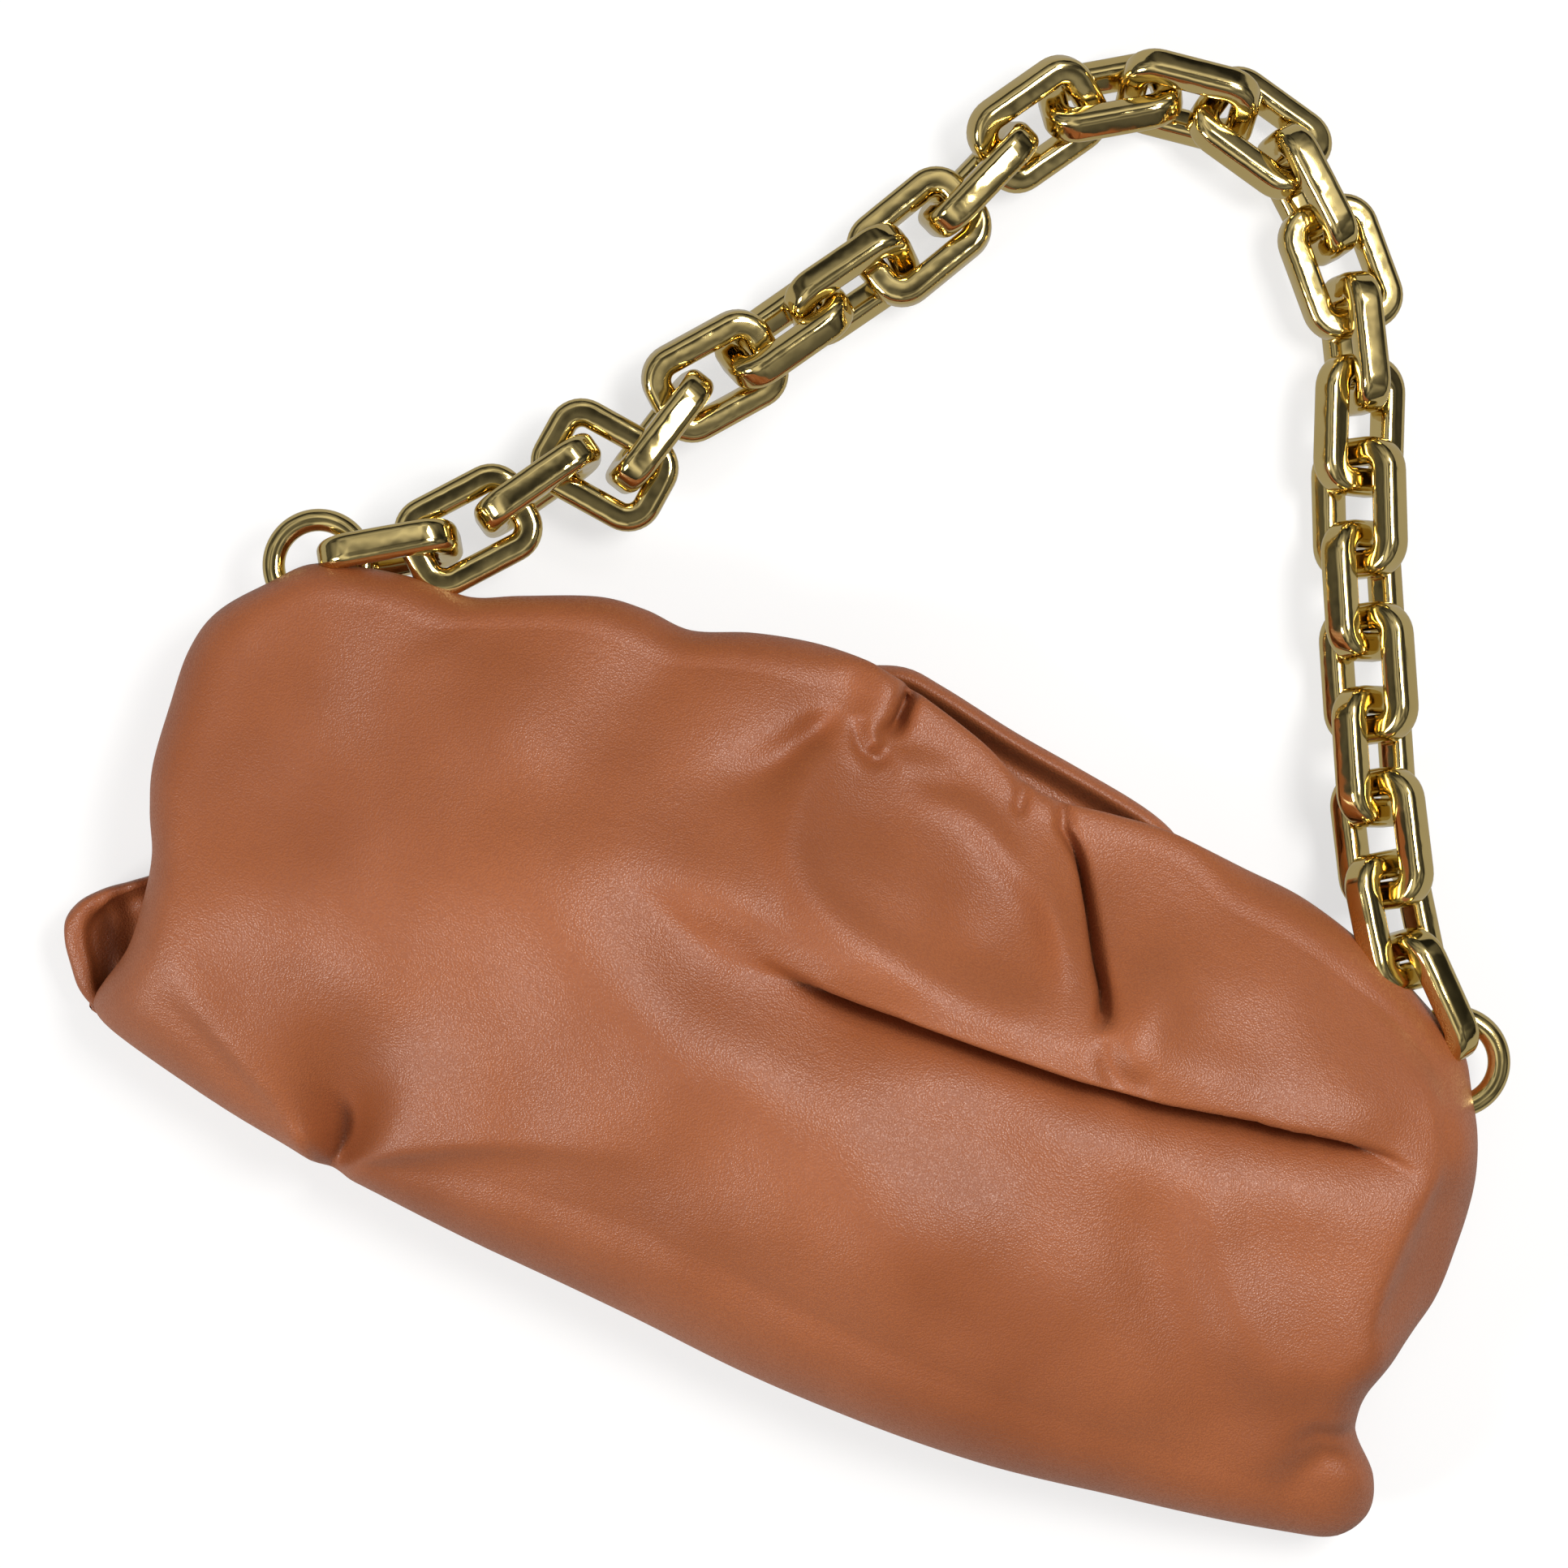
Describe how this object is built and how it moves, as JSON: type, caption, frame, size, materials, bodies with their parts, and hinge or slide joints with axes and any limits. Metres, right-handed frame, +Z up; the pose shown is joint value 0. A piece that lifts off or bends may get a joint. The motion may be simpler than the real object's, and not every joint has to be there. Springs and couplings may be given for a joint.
{
  "type": "handbag",
  "caption": "Soft tan leather frame pouch lying on its back, with a hinged mouth frame and a chunky rectangular link chain handle",
  "frame": {"origin": "bottom middle of the bag and chain as they lie on a table", "axes": "X along the base, Y from the base towards the mouth and the chain, Z up"},
  "size_m": [0.3159, 0.3129, 0.0602],
  "materials": {
    "leather": "fine pebble grain, soft sheen",
    "lining": "matt twill",
    "chain": "polished gold plate",
    "frame": "polished gold plate",
    "pin": "bright steel",
    "magnet": "nickel plate"
  },
  "bodies": {
    "bag_body": {"back_panel": "leather", "front_body_panel": "leather", "base_panel": "leather", "gusset_left": "leather", "gusset_right": "leather", "lining_back": "lining", "lining_front": "lining", "rear_frame": "frame", "hinge_pin_left": "pin", "hinge_pin_right": "pin", "magnet_rear": "magnet", "lug_left": "frame", "lug_right": "frame", "lug_rivet_left": "frame", "lug_rivet_right": "frame"},
    "front_half": {"front_frame": "frame", "front_flap_panel": "leather", "lining_flap": "lining", "frame_sleeve": "leather", "magnet_front": "magnet"},
    "ring_left_body": {"ring_left": "chain", "link_01": "chain", "link_02": "chain"},
    "ring_right_body": {"ring_right": "chain", "link_25": "chain", "link_24": "chain"},
    "chain_arch": {"link_03": "chain", "link_04": "chain", "link_05": "chain", "link_06": "chain", "link_07": "chain", "link_08": "chain", "link_09": "chain", "link_10": "chain", "link_11": "chain", "link_12": "chain", "link_13": "chain", "link_14": "chain", "link_15": "chain", "link_16": "chain", "link_17": "chain", "link_23": "chain"},
    "link_18_body": {"link_18": "chain"},
    "link_19_body": {"link_19": "chain"},
    "link_20_body": {"link_20": "chain"},
    "link_21_body": {"link_21": "chain"},
    "link_22_body": {"link_22": "chain"}
  },
  "joints": [
    {"name": "frame_open", "type": "hinge", "parent": "bag_body", "child": "front_half", "pos_m": [0, -0.0545, 0.0055], "axis": [1, 0, 0], "range_deg": [0, 30]},
    {"name": "ring_left_tilt", "type": "hinge", "parent": "bag_body", "child": "ring_left_body", "pos_m": [-0.13775, -0.0375, 0.018], "axis": [0.9999, -0.0145, 0], "range_deg": [0, 10]},
    {"name": "ring_right_tilt", "type": "hinge", "parent": "bag_body", "child": "ring_right_body", "pos_m": [0.13745, -0.0415, 0.018], "axis": [0.9999, -0.0145, 0], "range_deg": [0, 10]},
    {"name": "chain_lift", "type": "hinge", "parent": "ring_left_body", "child": "chain_arch", "pos_m": [-0.10432, -0.00034, 0.01646], "axis": [1, 0.0004, 0.0053], "range_deg": [0, 10]},
    {"name": "link_18_twist", "type": "hinge", "parent": "chain_arch", "child": "link_18_body", "pos_m": [0.06412, 0.09143, 0.01202], "axis": [0.3583, -0.9334, 0.0174], "range_deg": [0, 12]},
    {"name": "link_19_twist", "type": "hinge", "parent": "chain_arch", "child": "link_19_body", "pos_m": [0.07118, 0.07436, 0.01228], "axis": [0.4065, -0.913, 0.0349], "range_deg": [0, 12]},
    {"name": "link_20_twist", "type": "hinge", "parent": "chain_arch", "child": "link_20_body", "pos_m": [0.07906, 0.05761, 0.01321], "axis": [0.4378, -0.8976, 0.0523], "range_deg": [0, 12]},
    {"name": "link_21_twist", "type": "hinge", "parent": "chain_arch", "child": "link_21_body", "pos_m": [0.08713, 0.04093, 0.01434], "axis": [0.4373, -0.8966, 0.0698], "range_deg": [0, 12]},
    {"name": "link_22_twist", "type": "hinge", "parent": "chain_arch", "child": "link_22_body", "pos_m": [0.09526, 0.02425, 0.01564], "axis": [0.4373, -0.8966, 0.0698], "range_deg": [0, 12]}
  ],
  "couplings": [
    {"joint": "ring_right_tilt", "follows": "ring_left_tilt", "ratio": 1},
    {"joint": "link_19_twist", "follows": "link_18_twist", "ratio": 1},
    {"joint": "link_20_twist", "follows": "link_18_twist", "ratio": 1},
    {"joint": "link_21_twist", "follows": "link_18_twist", "ratio": 1},
    {"joint": "link_22_twist", "follows": "link_18_twist", "ratio": 1}
  ]
}
